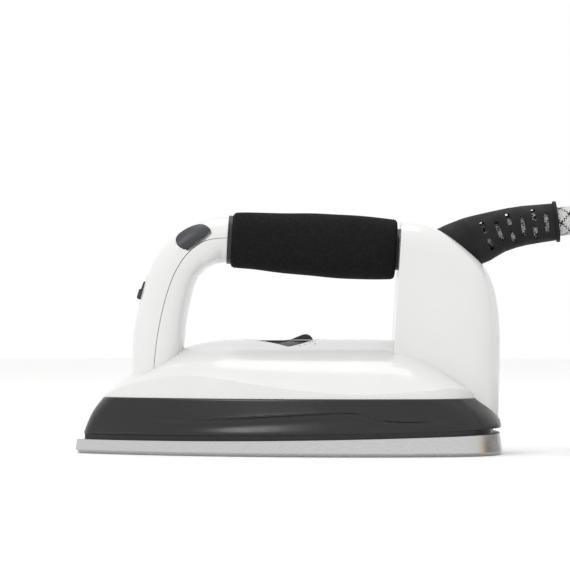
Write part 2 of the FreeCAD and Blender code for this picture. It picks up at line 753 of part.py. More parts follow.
# Outer and inner ends of each cross-section of the front post, and its half width.
POST_SECTIONS = [
    ((-84.7, 31.0), (-60.3, 33.0), 17.0),
    ((-84.9, 41.4), (-58.3, 47.4), 17.0),
    ((-84.2, 60.9), (-55.6, 65.7), 17.0),
    ((-80.9, 79.2), (-53.8, 77.8), 17.0),
    ((-76.3, 95.1), (-51.4, 88.0), 17.0),
    ((-71.1, 106.8), (-48.9, 94.2), 16.8),
    ((-64.1, 115.4), (-45.6, 98.2), 16.4),
    ((-55.4, 121.7), (-41.4, 100.9), 15.6),
    ((-45.2, 125.9), (-37.6, 102.2), 14.4),
    ((-32.2, 127.5), (-33.6, 102.8), 12.6),
]


def squircle(centre, across, half_across, half_width, power=2.5, count=20):
    """A closed smooth section between a circle and a rectangle."""
    points = []
    for i in range(count):
        angle = 2 * math.pi * i / count
        c, s = math.cos(angle), math.sin(angle)
        u = math.copysign(abs(c) ** (2 / power), c) * half_across
        v = math.copysign(abs(s) ** (2 / power), s) * half_width
        points.append(centre + across * u + Vector(0, v, 0))
    curve = Part.BSplineCurve()
    curve.interpolate(points, PeriodicFlag=True)
    return Part.Wire(curve.toShape())


def post_form(grow, end_grow=0.0):
    """The post's filled form, swollen by grow, with its grip end pushed out by end_grow."""
    wires = []
    for i, (outer, inner, half_width) in enumerate(POST_SECTIONS):
        a, b = Vector(outer[0], 0, outer[1]), Vector(inner[0], 0, inner[1])
        across = (a - b).normalize()
        centre = (a + b) * 0.5
        if i == len(POST_SECTIONS) - 1:
            centre = centre + GRIP_WAY * end_grow
        power = 2.5 if i < len(POST_SECTIONS) - 2 else 2.1
        wires.append(squircle(centre, across, (a - b).Length / 2 + grow, half_width + grow, power))
    return solid_of(Part.makeLoft(wires, True, False))


# The line in side view where the post's outer and inner shells meet.
SEAM = [
    (-72.6, 20.0), (-72.6, 41.4), (-70.4, 63.5), (-67.7, 77.2), (-64.2, 89.6), (-60.8, 97.9),
    (-56.6, 104.8), (-52.3, 109.6), (-45.6, 114.1), (-39.4, 115.6), (-30.0, 115.9),
]


def seam_side(shift):
    """Everything on the nose side of the seam, with the seam moved by shift."""
    curve = Part.BSplineCurve()
    curve.interpolate([Vector(x + shift * 0.7, -40, z - shift * 0.7) for x, z in SEAM])
    start, end = curve.value(curve.FirstParameter), curve.value(curve.LastParameter)
    around = [end, Vector(-28, -40, 150), Vector(-120, -40, 150), Vector(-120, -40, 20), start]
    edges = [curve.toShape()]
    for one, two in zip(around, around[1:]):
        edges.append(Part.LineSegment(one, two).toShape())
    return Part.Face(Part.Wire(Part.__sortEdges__(edges))).extrude(Vector(0, 80, 0))


post_full = post_form(0.0)
post_hollow = post_form(-dim("post_wall"), 1.5)

# Local frame of the left steam button: along the post, across it, and out of it.
BUTTON_AT = Vector(-52.2, -14.4, 118.6)
BUTTON_OUT = Vector(-0.408, -0.577, 0.707).normalize()
BUTTON_ALONG = Vector(0.866, 0, 0.5).normalize()
BUTTON_ACROSS = BUTTON_OUT.cross(BUTTON_ALONG)
button_place = Placement(BUTTON_AT, Rotation(BUTTON_ALONG, BUTTON_ACROSS, BUTTON_OUT, "ZXY"))


def mirrored(shape):
    """The same shape on the iron's right side."""
    return shape.mirror(Vector(0, 0, 0), Vector(0, 1, 0))


def bean(grow, low, high):
    """The steam button's bean-shaped prism in the button's local frame, then placed on the post."""
    bend, half = dim("button_bend"), dim("button_width") / 2 + grow
    angle = (dim("button_length") / 2 - dim("button_width") / 2) / bend
    centre = Vector(0, -bend, low)

    def at(radius, turn):
        return centre + Vector(radius * math.sin(turn), radius * math.cos(turn), 0)

    cap = half / bend
    edges = [
        Part.Arc(at(bend + half, -angle), at(bend + half, 0), at(bend + half, angle)).toShape(),
        Part.Arc(at(bend + half, angle), at(bend, angle + cap), at(bend - half, angle)).toShape(),
        Part.Arc(at(bend - half, angle), at(bend - half, 0), at(bend - half, -angle)).toShape(),
        Part.Arc(at(bend - half, -angle), at(bend, -angle - cap), at(bend + half, -angle)).toShape(),
    ]
    prism = Part.Face(Part.Wire(edges)).extrude(Vector(0, 0, high - low))
    prism.Placement = button_place
    return prism.copy()


def switch_room(grow):
    """The space that a button's spring and microswitch take, in the left button's frame."""
    long, wide = dim("switch_long") + 2 * grow, dim("switch_deep") + 2 * grow
    deep = dim("button_depth") + dim("spring_length")
    high = dim("switch_high") + 2 * grow
    block = Part.makeBox(long, wide, high, Vector(-long / 2, -wide / 2, -deep - high + grow))
    well = Part.makeCylinder(dim("spring_outer") + grow, deep, Vector(0, 0, -deep))
    room = block.fuse(well)
    room.Placement = button_place
    return room.copy()


# Local frame of the mode slider: up the post, across it, and out of its front.
SLIDER_AT = Vector(-78.5, 0, 87.5)
SLIDER_UP = Vector(0.272, 0, 0.962).normalize()
SLIDER_OUT = Vector(-0.962, 0, 0.272).normalize()
slider_place = Placement(SLIDER_AT, Rotation(SLIDER_UP, SLIDER_OUT.cross(SLIDER_UP), SLIDER_OUT, "ZXY"))


def slider_box(long, wide, low, high):
    """A block in the slider's frame, centred on the slot."""
    block = Part.makeBox(long, wide, high - low, Vector(-long / 2, -wide / 2, low))
    block.Placement = slider_place
    return block.copy()


def make_post_shells():
    """The front post's two white shells, with openings for the buttons and the mode slider."""
    shell = post_full.cut(post_hollow).cut(cover_full)
    window = bean(dim("button_gap"), -dim("button_depth") - 2, 14.0)
    shell = shell.cut(window).cut(mirrored(window))
    room = switch_room(dim("button_gap"))
    shell = shell.cut(room).cut(mirrored(room))
    recess = slider_box(dim("bezel_length"), dim("bezel_width"), -dim("bezel_thick"), 6.0)
    slot = slider_box(dim("slot_long"), dim("slot_wide"), -4.0, 6.0)
    outer = shell.common(seam_side(0.0)).cut(recess).cut(slot)
    inner = shell.cut(seam_side(dim("seam_gap")))
    return solid_of(outer), solid_of(inner)


outer_shell, inner_shell = make_post_shells()
feature("handle_outer_shell", outer_shell)
feature("handle_inner_shell", inner_shell)

core_outer = cylinder("core_bar", "Dims.core_radius", "Dims.core_length",
                      along(GRIP_START - GRIP_WAY * 2.5, GRIP_WAY), kept=False)
core_bore = cylinder("core_hole", "Dims.core_bore", "Dims.core_length",
                     along(GRIP_START - GRIP_WAY * 2.5, GRIP_WAY), kept=False)
boolean("Cut", "handle_core", core_outer, core_bore)

# Along the grip's axis: distance from its start, height above the axis and depth below it, half width.
GRIP_SECTIONS = [
    (2.2, 14.9, 15.1, 14.9), (6.0, 15.3, 15.3, 15.2), (15.0, 15.7, 15.6, 15.6),
    (29.0, 16.4, 16.4, 16.0), (46.0, 17.0, 17.3, 16.4), (64.0, 17.4, 17.6, 16.4),
    (78.0, 17.0, 17.3, 16.2), (91.0, 16.3, 16.3, 16.0),
]


def make_grip():
    """The foam grip: slightly oval sections that swell towards the rear."""
    wires = []
    above_axis = Vector(-GRIP_WAY.z, 0, GRIP_WAY.x)
    for distance, top, bottom, half_width in GRIP_SECTIONS:
        centre = GRIP_START + GRIP_WAY * distance + above_axis * ((top - bottom) / 2)
        wires.append(squircle(centre, above_axis, (top + bottom) / 2, half_width, 2.0, 16))
    return solid_of(Part.makeLoft(wires, True, False).cut(core_cylinder(dim("core_radius"))))


feature("foam_grip", make_grip())


def collar(label, radius, thickness, distance):
    """A flat ring round the handle's core."""
    place = along(GRIP_START + GRIP_WAY * distance, GRIP_WAY)
    padded_body(label, lambda sketch: circle(sketch, radius), thickness, place,
                [lambda sketch: circle(sketch, "Dims.core_radius")])


collar("front_collar", "Dims.collar_radius", "Dims.collar_thick", 2.2 - dim("collar_thick"))
collar("rear_collar", "Dims.rear_collar_radius", "Dims.rear_collar_thick", 91.0)

# ---------------------------------------------------------------- steam buttons and their switches


def button_part(shape):
    """Places a shape made in the left button's local frame."""
    shape.Placement = button_place
    return shape.copy()


def make_buttons():
    """Both steam buttons with their springs, plungers and microswitches."""
    deep = dim("button_depth")
    cap = solid_of(bean(0.0, -deep, 14.0).common(post_form(dim("button_proud"))))
    pin_long = dim("plunger_length")
    pin = button_part(Part.makeCylinder(dim("plunger_radius"), pin_long, Vector(0, 0, -deep - pin_long)))
    spring_long = dim("spring_length")
    top = -deep - spring_long
    coil = Part.makeCylinder(dim("spring_outer"), spring_long, Vector(0, 0, top))
    coil = coil.cut(Part.makeCylinder(dim("spring_inner"), spring_long, Vector(0, 0, top)))
    coil = button_part(coil)
    long, wide, high = dim("switch_long"), dim("switch_deep"), dim("switch_high")
    body = button_part(Part.makeBox(long, wide, high, Vector(-long / 2, -wide / 2, top - high)))
    parts = {"steam_button": cap, "switch_plunger": pin, "button_spring": coil, "microswitch": body}
    for name, shape in parts.items():
        feature("left_" + name, solid_of(shape))
        feature("right_" + name, solid_of(mirrored(shape)))


make_buttons()

# ---------------------------------------------------------------- mode slider


def make_slider():
    """The mode slider: its knob, its bezel in the post, and the switch behind."""
    half = dim("knob_width") / 2
    long = dim("knob_length") / 2
    profile = [
        (-long, 0.25), (long, 0.25), (long, 1.0), (long - 4.2, 1.3), (long - 4.8, 2.3),
        (-long + 0.8, 2.3), (-long, 1.6),
    ]
    points = [Vector(x, -half, z) for x, z in profile]
    cap = Part.Face(Part.makePolygon(points + points[:1])).extrude(Vector(0, 2 * half, 0))
    stem_long = dim("slot_long") - dim("slider_travel") - 0.8
    stem = Part.makeBox(stem_long, dim("slot_wide") - 0.6, 4.8,
                        Vector(-dim("slot_long") / 2 + 0.4, -dim("slot_wide") / 2 + 0.3, -4.5))
    knob = cap.fuse(stem)
    knob.Placement = slider_place
    feature("mode_slider_knob", solid_of(tidy(knob.copy())))
    thick = dim("bezel_thick")
    bezel = slider_box(dim("bezel_length"), dim("bezel_width"), -thick, 0.0)
    feature("mode_bezel", solid_of(bezel.cut(slider_box(dim("slot_long"), dim("slot_wide"), -5, 5))))
    top = -2.8
    body = slider_box(dim("switch_body_long"), dim("switch_body_wide"), top - dim("switch_body_high"), top)
    body = body.cut(slider_box(dim("slot_long"), dim("slot_wide"), top - 2.4, 5))
    feature("mode_switch_body", solid_of(body))


make_slider()

# ---------------------------------------------------------------- hose, boot and coil


def round_route(points):
    """Straight runs joined by tangent arcs, each as large as its two runs allow, and the arcs' radii."""
    corners = [Vector(*p) for p in points]
    edges, radii, at = [], [], corners[0]
    for before, here, after in zip(corners, corners[1:], corners[2:]):
        back, ahead = before - here, after - here
        reach = 0.45 * min(back.Length, ahead.Length)
        turn = math.pi - back.getAngle(ahead)
        radii.append(reach / math.tan(turn / 2))
        one = here + back.normalize() * reach
        two = here + ahead.normalize() * reach
        bisector = (back + ahead).normalize()
        depth = math.hypot(reach, radii[-1]) - radii[-1]
        edges.append(Part.LineSegment(at, one).toShape())
        edges.append(Part.Arc(one, here + bisector * depth, two).toShape())
        at = two
    edges.append(Part.LineSegment(at, corners[-1]).toShape())
    return Part.Wire(edges), radii


def tube(points, radius, bore=0.0):
    """A round tube along a route."""
    path, radii = round_route(points)
    start = Vector(*points[0])
    way = Vector(*points[1]) - start
    ring = Part.Wire(Part.Circle(start, way, radius).toShape())
    body = solid_of(path.makePipeShell([ring], True, False, 2))
    if bore:
        hole = Part.Wire(Part.Circle(start, way, bore).toShape())
        body = solid_of(body.cut(solid_of(path.makePipeShell([hole], True, False, 2))))
    expected = math.pi * (radius**2 - bore**2) * path.Length
    print("tube: length %.0f, smallest arc %.1f, volume ratio %.4f" % (
        path.Length, min(radii), body.Volume / expected))
    return body


# The steam hose from inside the boot, out of the heel, down to the top turn of the coil on the floor.
HOSE_ROUTE = [
    (89.0, 0.0, 110.3), (112.0, 0.0, 119.2), (139.0, 0.0, 124.5), (166.0, 0.0, 126.3),
    (192.6, -7.2, 121.3), (214.4, -20.1, 108.7), (229.4, -32.8, 87.9), (242.4, -40.6, 63.6),
    (262.6, -41.8, 43.6), (286.7, -35.0, 29.7), (310.1, -19.6, 22.0),
]

# The hose's last stretch on the floor, from the coil to the boiler's connector.
TAIL_ROUTE = [
    (172.5, 35.0, 7.75), (172.6, 13.0, 7.9), (172.2, -10.0, 9.6), (171.4, -33.0, 10.4),
]


def hose_way(back):
    """A point on the hose's first run, moved back into the housing, and that run's direction."""
    start, after = Vector(*HOSE_ROUTE[0]), Vector(*HOSE_ROUTE[1])
    direction = (after - start).normalize()
    return start - direction * back, direction


feature("steam_hose", tube(HOSE_ROUTE, dim("hose_radius")))
feature("hose_tail", tube(TAIL_ROUTE, dim("hose_radius")))

inner, outer, radius = dim("coil_inner"), dim("coil_outer"), dim("hose_radius")
top_level, top_radius = dim("coil_top_level"), dim("coil_top_radius")
low, high = inner - radius, outer + radius
turned_body("hose_coil", [
    (low, 2.0), (low + 2.0, 0.0), (high - 2.0, 0.0), (high, 2.0), (high, 12.0),
    (top_radius + 8.0, top_level + 3.0), (top_radius + 5.5, top_level + radius),
    (top_radius - 5.5, top_level + radius), (top_radius - 8.0, top_level + 3.0), (low, 12.0),
], Placement(Vector(dim("coil_x"), dim("coil_y"), 0), Rotation()))

# Centre and radius of the rubber boot's cross-sections, from inside the housing to its free end.
BOOT_SECTIONS = [
    (78.0, 104.5, 13.9), (90.9, 110.9, 13.6), (99.0, 114.2, 13.4), (104.4, 116.0, 13.0),
    (108.2, 117.6, 12.3), (113.4, 119.5, 11.5), (120.3, 121.4, 11.0), (127.1, 122.7, 10.7),
    (134.1, 123.6, 10.4), (143.6, 124.7, 10.05),
]


def boot_form(thinner):
    """The boot's filled form, or the same form moved inwards."""
    wires = []
    count = len(BOOT_SECTIONS)
    for i, (x, z, radius) in enumerate(BOOT_SECTIONS):
        before, after = BOOT_SECTIONS[max(i - 1, 0)], BOOT_SECTIONS[min(i + 1, count - 1)]
        way = Vector(after[0] - before[0], 0, after[1] - before[1]).normalize()
        centre = Vector(x, 0, z)
        if thinner and i in (0, count - 1):
            centre = centre + way * (2.0 if i else -2.0)
        circle_edge = Part.Circle(centre, way, radius - thinner).toShape()
        wires.append(Part.Wire(circle_edge))
    return solid_of(Part.makeLoft(wires, True, True))


# Distance along X of each column of slots, and whether it is one long slot or two short ones.
SLOT_COLUMNS = [
    (106.7, False), (113.1, True), (119.5, False), (125.9, True), (132.3, False), (138.7, True),
]


def boot_axis(x):
    """The boot's centre at x, and the slope of its axis there."""
    for (x0, z0, _), (x1, z1, _) in zip(BOOT_SECTIONS, BOOT_SECTIONS[1:]):
        if x0 <= x <= x1:
            slope = (z1 - z0) / (x1 - x0)
            return Vector(x, 0, z0 + slope * (x - x0)), slope
    raise ValueError("outside the boot")


def boot_slots():
    """Slots through both side walls: columns of one long slot between columns of two short ones."""
    wide = dim("boot_slot")
    cuts = []
    for x, single in SLOT_COLUMNS:
        centre, slope = boot_axis(x)
        tilt = Rotation(Vector(0, 1, 0), -math.degrees(math.atan(slope)))
        spans = [(-5.4, 5.4)] if single else [(-8.0, -1.8), (1.8, 8.0)]
        for bottom, top in spans:
            block = Part.makeBox(wide, 40.0, top - bottom, Vector(-wide / 2, -20.0, bottom))
            block.Placement = Placement(centre, tilt)
            cuts.append(block.copy())
    return cuts


boot = boot_form(0.0).cut(boot_form(dim("boot_wall"))).cut(housing_full)
for slot in boot_slots():
    boot = boot.cut(slot)
feature("cord_boot", solid_of(boot))

end_x, end_z, _ = BOOT_SECTIONS[-1]
last_x, last_z, _ = BOOT_SECTIONS[-2]
end_way = Vector(end_x - last_x, 0, end_z - last_z)
padded_body("boot_flange", lambda sketch: circle(sketch, "Dims.boot_ring_radius"), "Dims.boot_ring_thick",
            along((end_x, 0, end_z), end_way), [lambda sketch: circle(sketch, "Dims.boot_ring_bore")])

feature("rear_housing", make_housing())
feature("housing_front_plate", make_front_plate())

# ---------------------------------------------------------------- steam pipe and its bracket

union_at, union_way = hose_way(dim("union_length"))
union = Part.makeCylinder(dim("union_radius") - 2.0, dim("union_length"), union_at, union_way)
union = union.cut(Part.makeCylinder(dim("tube_inner"), dim("union_length"), union_at, union_way))
feature("hose_union", solid_of(union))

pipe_start = Vector(*inlet_spot(), inlet_top)
pipe_end = union_at
pipe_route = [
    pipe_start, Vector(dim("inlet_x"), 0.0, 84.0), pipe_end - union_way * 9.0, pipe_end,
]
pipe_route = [tuple(p) for p in pipe_route]
feature("steam_tube", tube(pipe_route, dim("tube_outer"), dim("tube_inner")))

bracket_half = dim("housing_half") - dim("wall")
bracket = Part.makeBox(20.0, 2 * bracket_half, dim("bracket_thick"), Vector(-10, -bracket_half, 0))
bracket.Placement = along(union_at + union_way * 2.0, union_way)
bracket = bracket.cut(Part.makeCylinder(dim("union_radius") - 2.0, 40, union_at - union_way * 10, union_way))
feature("union_bracket", solid_of(bracket.common(hollow_block)))

# ---------------------------------------------------------------- boiler end of the hose

tail_end = Vector(*TAIL_ROUTE[-1])
tail_way = (tail_end - Vector(*TAIL_ROUTE[-2])).normalize()


def on_tail(distance):
    """A placement along the hose's end, with local Z along the hose."""
    return along(tail_end + tail_way * distance, tail_way)


SLEEVE_BACK = 9.5
padded_body("boiler_sleeve", lambda sketch: circle(sketch, "Dims.sleeve_radius"), "Dims.sleeve_length",
            on_tail(-SLEEVE_BACK), [lambda sketch: circle(sketch, "Dims.hose_radius")])

collar_end = dim("sleeve_length") - SLEEVE_BACK
nipple_end = collar_end + dim("flange_thick") + dim("nut_length") + 6.5
slim, bore = dim("nipple_radius"), dim("nipple_bore")
turned_body("steam_nipple", [
    (bore, 0.0), (dim("hose_radius"), 0.0), (dim("hose_radius"), collar_end), (slim, collar_end),
    (slim, nipple_end - 2.0), (slim - 1.2, nipple_end), (bore, nipple_end),
], on_tail(0.0))
padded_body("boiler_flange", lambda sketch: circle(sketch, "Dims.flange_radius"), "Dims.flange_thick",
            on_tail(collar_end), [lambda sketch: circle(sketch, "Dims.nipple_radius")])


def hexagon(sketch):
    """A regular hexagon of the nut's width across its flats."""
    corner = dim("nut_flats") / math.sqrt(3)
    polygon(sketch, [(corner * math.cos(math.radians(60 * i)), corner * math.sin(math.radians(60 * i)))
                     for i in range(6)])


padded_body("union_nut", hexagon, "Dims.nut_length", on_tail(collar_end + dim("flange_thick") + 0.5),
            [lambda sketch: circle(sketch, "Dims.nipple_radius")])

# ---------------------------------------------------------------- electrics

BOARD_AT = (81.0, -16.8, 62.0)
board_x, board_y, board_z = BOARD_AT
wall_y = -(dim("housing_half") - dim("wall"))
board_back = board_y - dim("board_thick") / 2
board_face = board_y + dim("board_thick") / 2
BOARD_SCREWS = [(board_x + dx, board_z + dz) for dx in (-13.0, 10.0) for dz in (4.0, 26.0)]

board = Part.makeBox(dim("board_long"), dim("board_thick"), dim("board_high"),
                     Vector(board_x - dim("board_long") / 2, board_back, board_z))
posts, screws = [], []
sideways = Vector(0, 1, 0)
for x, z in BOARD_SCREWS:
    hole = Part.makeCylinder(dim("screw_radius"), 40, Vector(x, wall_y - 1, z), sideways)
    board = board.cut(hole)
    post = Part.makeCylinder(dim("screw_head"), board_back - wall_y, Vector(x, wall_y, z), sideways)
    posts.append(post.cut(hole))
    screws.append(screw((x, board_face, z), (0, 1, 0), board_face - wall_y - 1.0))
feature("control_board", solid_of(board))
group("board_standoffs", posts)
group("board_screws", screws)
box("terminal_block", "Dims.block_long", "Dims.block_wide", "Dims.block_high",
    along((board_x + 5.0, board_face + dim("block_wide") / 2, board_z + 9.0), (0, 0, 1)))

# From the mode switch, between the two microswitches, through the handle's core and down to the board.
LOOM_ROUTE = [
    (-68.4, 0.0, 84.9), (-62.0, 0.0, 87.0), (-54.0, 0.0, 98.0), (-46.0, 0.0, 110.0),
    (-31.0, 0.0, 114.6), (20.0, -1.5, 112.3), (64.5, -2.4, 109.3), (72.0, -10.5, 104.5),
    (79.0, -12.5, 96.0), (84.0, -10.6, 84.4),
]
feature("wire_loom", tube(LOOM_ROUTE, dim("loom_radius")))

doc.recompute()
os.makedirs("parts", exist_ok=True)
for obj in MADE:
    bad = [s for s in obj.State if s in ("Invalid", "Error")]
    if bad or obj.Shape.isNull() or not obj.Shape.isValid():
        raise ValueError("%s: %s" % (obj.Label, bad or "bad shape"))
for obj in MADE:
    obj.Shape.exportStep("parts/%s.step" % obj.Label)
    print(obj.Label, len(obj.Shape.Solids), round(obj.Shape.Volume / 1000, 2))
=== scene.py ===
import math
import random

import bmesh
import bpy
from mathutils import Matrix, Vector


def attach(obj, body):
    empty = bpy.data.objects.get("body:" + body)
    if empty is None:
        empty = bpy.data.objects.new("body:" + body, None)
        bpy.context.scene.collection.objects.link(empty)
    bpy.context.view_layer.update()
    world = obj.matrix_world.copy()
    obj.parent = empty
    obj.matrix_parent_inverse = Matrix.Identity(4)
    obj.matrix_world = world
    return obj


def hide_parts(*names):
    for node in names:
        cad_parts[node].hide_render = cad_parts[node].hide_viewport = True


# The steam iron's look: materials for the carried parts, the sculpted skirt, the foam grip, the braided
# hose with its coil, the dial's marks, and the studio. Everything is in metres, in the model's own frame.

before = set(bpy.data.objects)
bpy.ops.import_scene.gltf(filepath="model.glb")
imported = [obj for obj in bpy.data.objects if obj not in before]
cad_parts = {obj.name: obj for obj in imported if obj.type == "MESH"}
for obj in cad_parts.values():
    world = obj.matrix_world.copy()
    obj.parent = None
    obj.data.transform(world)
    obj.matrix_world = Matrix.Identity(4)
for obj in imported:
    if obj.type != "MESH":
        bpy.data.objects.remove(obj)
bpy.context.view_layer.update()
random.seed(7)

MM = 0.001


# ---------------------------------------------------------------- material tools


class Nodes:
    """A small helper for building one material's node tree."""

    def __init__(self, name, color, roughness, metallic=0.0, coat=0.0, specular=0.5, ior=1.5):
        self.mat = bpy.data.materials.new(name)
        self.mat.use_nodes = True
        self.tree = self.mat.node_tree
        self.shader = self.tree.nodes["Principled BSDF"]
        values = {
            "Base Color": (*color, 1.0),
            "Roughness": roughness,
            "Metallic": metallic,
            "Coat Weight": coat,
            "Coat Roughness": 0.06,
            "Specular IOR Level": specular,
            "IOR": ior,
        }
        for socket, value in values.items():
            self.shader.inputs[socket].default_value = value
        self.where = self.add("ShaderNodeTexCoord").outputs["Object"]

    def add(self, kind, **values):
        node = self.tree.nodes.new(kind)
        for key, value in values.items():
            if key in node.inputs:
                node.inputs[key].default_value = value
            else:
                setattr(node, key, value)
        return node

    def link(self, out, into):
        self.tree.links.new(out, into)

    def stretched(self, scale):
        """The object's coordinates, scaled by three factors."""
        mapping = self.add("ShaderNodeMapping")
        mapping.inputs["Scale"].default_value = scale
        self.link(self.where, mapping.inputs["Vector"])
        return mapping.outputs["Vector"]

    def noise(self, scale, detail=4.0, rough=0.55, stretch=(1, 1, 1)):
        node = self.add("ShaderNodeTexNoise", Scale=scale, Detail=detail, Roughness=rough)
        self.link(self.stretched(stretch), node.inputs["Vector"])
        return node.outputs["Fac"]

    def voronoi(self, scale, feature="F1"):
        node = self.add("ShaderNodeTexVoronoi", Scale=scale)
        node.feature = feature
        self.link(self.where, node.inputs["Vector"])
        return node.outputs["Distance"]

    def ramp(self, source, low, high, at=(0.3, 0.7)):
        """Maps a grey value to a range of values or colours."""
        node = self.add("ShaderNodeMapRange")
        node.inputs["From Min"].default_value = at[0]
        node.inputs["From Max"].default_value = at[1]
        node.inputs["To Min"].default_value = low
        node.inputs["To Max"].default_value = high
        self.link(source, node.inputs["Value"])
        return node.outputs["Result"]

    def tint(self, source, low, high, at=(0.3, 0.7)):
        """Mixes two colours by a grey value."""
        node = self.add("ShaderNodeValToRGB")
        node.color_ramp.elements[0].position = at[0]
        node.color_ramp.elements[1].position = at[1]
        node.color_ramp.elements[0].color = (*low, 1)
        node.color_ramp.elements[1].color = (*high, 1)
        self.link(source, node.inputs["Fac"])
        return node.outputs["Color"]

    def bump(self, height, strength, distance):
        node = self.add("ShaderNodeBump", Strength=strength, Distance=distance)
        self.link(height, node.inputs["Height"])
        previous = self.shader.inputs["Normal"]
        if previous.is_linked:
            self.link(previous.links[0].from_socket, node.inputs["Normal"])
        self.link(node.outputs["Normal"], previous)

    def color(self, source):
        self.link(source, self.shader.inputs["Base Color"])

    def rough(self, source):
        self.link(source, self.shader.inputs["Roughness"])


def gloss_plastic(name, color, roughness, coat, grain=0.012):
    """Moulded gloss plastic: faint flow unevenness, a little wear in the shine, fine dust."""
    m = Nodes(name, color, roughness, coat=coat)
    flow = m.noise(14.0, 2.0)
    fine = m.noise(900.0, 3.0)
    darker = tuple(c * 0.965 for c in color)
    m.color(m.tint(m.noise(22.0, 5.0), darker, color, (0.25, 0.6)))
    m.rough(m.ramp(m.noise(60.0, 6.0), roughness * 0.85, roughness * 1.25))
    m.bump(flow, 0.05, 0.0008)
    m.bump(fine, grain, 0.0001)
    return m.mat


def satin_plastic(name, color, roughness, scale=1400.0, strength=0.25):
    """Spark-eroded plastic: an even fine grain, slightly rubbed."""
    m = Nodes(name, color, roughness)
    lighter = tuple(min(1.0, c * 1.25 + 0.003) for c in color)
    m.color(m.tint(m.noise(40.0, 5.0), color, lighter, (0.35, 0.75)))
    m.rough(m.ramp(m.noise(90.0, 5.0), roughness * 0.85, min(1.0, roughness * 1.15)))
    m.bump(m.noise(scale, 2.0), strength, 0.00012)
    return m.mat


def rubber(name, color=(0.008, 0.008, 0.0085)):
    """Soft black rubber: powdery, with a fine matt grain."""
    m = Nodes(name, color, 0.62, specular=0.22)
    m.color(m.tint(m.noise(55.0, 6.0), color, tuple(c * 1.7 for c in color), (0.4, 0.75)))
    m.rough(m.ramp(m.noise(160.0, 4.0), 0.52, 0.74))
    m.bump(m.noise(1900.0, 3.0), 0.35, 0.00015)
    return m.mat


def foam(name):
    """Closed-cell foam: open pits of several sizes over a rough skin, with painted shade at the bottom of each
    pit.
    """
    m = Nodes(name, (0.008, 0.008, 0.0085), 0.9, specular=0.12)
    # Painted shade: the colour darkens towards each pit's bottom, where the bump is lowest.
    m.color(m.tint(m.voronoi(1500.0), (0.0035, 0.0035, 0.0037), (0.011, 0.011, 0.0115), (0.1, 0.7)))
    m.rough(m.ramp(m.noise(500.0, 4.0), 0.78, 0.98))
    m.bump(m.voronoi(1500.0), 0.45, 0.00025)
    m.bump(m.noise(3200.0, 3.0), 0.3, 0.00012)
    return m.mat


def cast_metal(name):
    """The soleplate: brushed along its length, with fine polishing lines and slight stains."""
    m = Nodes(name, (0.72, 0.72, 0.71), 0.26, metallic=1.0)
    lines = m.noise(120.0, 4.0, 0.6, (1.0, 30.0, 30.0))
    fine = m.noise(600.0, 3.0, 0.6, (0.6, 12.0, 12.0))
    m.color(m.tint(lines, (0.50, 0.50, 0.50), (0.62, 0.62, 0.615)))
    m.rough(m.ramp(fine, 0.22, 0.34))
    m.bump(lines, 0.03, 0.0001)
    m.bump(fine, 0.03, 0.00005)
    m.shader.inputs["Anisotropic"].default_value = 0.5
    return m.mat


def small_metal(name, color, roughness):
    """Turned or stamped small metal parts."""
    m = Nodes(name, color, roughness, metallic=1.0)
    m.rough(m.ramp(m.noise(250.0, 4.0), roughness * 0.7, roughness * 1.4))
    m.color(m.tint(m.noise(70.0, 4.0), tuple(c * 0.85 for c in color), color))
    m.bump(m.noise(900.0, 2.0, 0.5, (1, 1, 8)), 0.12, 0.0001)
    return m.mat


def board_material(name):
    """Green circuit board with copper tracks under its mask."""
    m = Nodes(name, (0.02, 0.16, 0.07), 0.35, coat=0.4)
    tracks = m.add("ShaderNodeTexBrick", Scale=220.0)
    m.link(m.where, tracks.inputs["Vector"])
    m.color(m.tint(tracks.outputs["Fac"], (0.02, 0.17, 0.07), (0.05, 0.28, 0.12), (0.2, 0.8)))
    m.bump(tracks.outputs["Fac"], 0.2, 0.0001)
    return m.mat


WHITE = (0.72, 0.72, 0.71)
white = gloss_plastic("white_gloss", WHITE, 0.20, 0.55)
skirt_black = gloss_plastic("skirt_black", (0.003, 0.003, 0.0034), 0.26, 0.05, 0.01)
black = satin_plastic("black_satin", (0.007, 0.007, 0.0075), 0.40)
charcoal = satin_plastic("charcoal", (0.022, 0.023, 0.026), 0.38)
dark = satin_plastic("dark_nylon", (0.03, 0.03, 0.032), 0.5, 700.0, 0.35)
ceramic = satin_plastic("ceramic", (0.70, 0.66, 0.57), 0.65, 600.0, 0.4)
silicone = satin_plastic("silicone", (0.55, 0.14, 0.08), 0.5, 500.0, 0.2)
metal = cast_metal("brushed_sole")
steel = small_metal("steel", (0.60, 0.60, 0.61), 0.32)
alloy = small_metal("alloy", (0.74, 0.75, 0.76), 0.38)
brass = small_metal("brass", (0.78, 0.58, 0.28), 0.28)
boot_rubber = rubber("boot_rubber")
board = board_material("circuit_board")
grip_foam = foam("grip_foam")

MATERIALS = {
    metal: ["soleplate"],
    steel: ["heating_element", "steam_chamber_cover", "chamber_screws", "heater_terminals", "skirt_screws",
            "thermostat_spindle", "heat_shield", "left_button_spring", "right_button_spring",
            "union_bracket", "board_screws"],
    alloy: ["handle_core"],
    brass: ["steam_inlet", "hose_union", "steam_nipple", "union_nut"],
    silicone: ["chamber_gasket", "steam_tube", "wire_loom"],
    ceramic: ["thermostat_body", "thermal_fuse"],
    black: ["sole_spacer", "dial_insert", "temperature_lever", "front_collar", "rear_collar"],
    charcoal: ["left_steam_button", "right_steam_button", "mode_slider_knob"],
    white: ["top_cover", "handle_outer_shell", "handle_inner_shell", "rear_housing", "housing_front_plate",
            "mode_bezel"],
    skirt_black: ["skirt"],
    boot_rubber: ["cord_boot", "boot_flange", "boiler_sleeve"],
    dark: ["left_switch_plunger", "right_switch_plunger", "left_microswitch", "right_microswitch",
           "mode_switch_body", "boiler_flange", "board_standoffs", "terminal_block"],
    board: ["control_board"],
    grip_foam: ["foam_grip"],
}


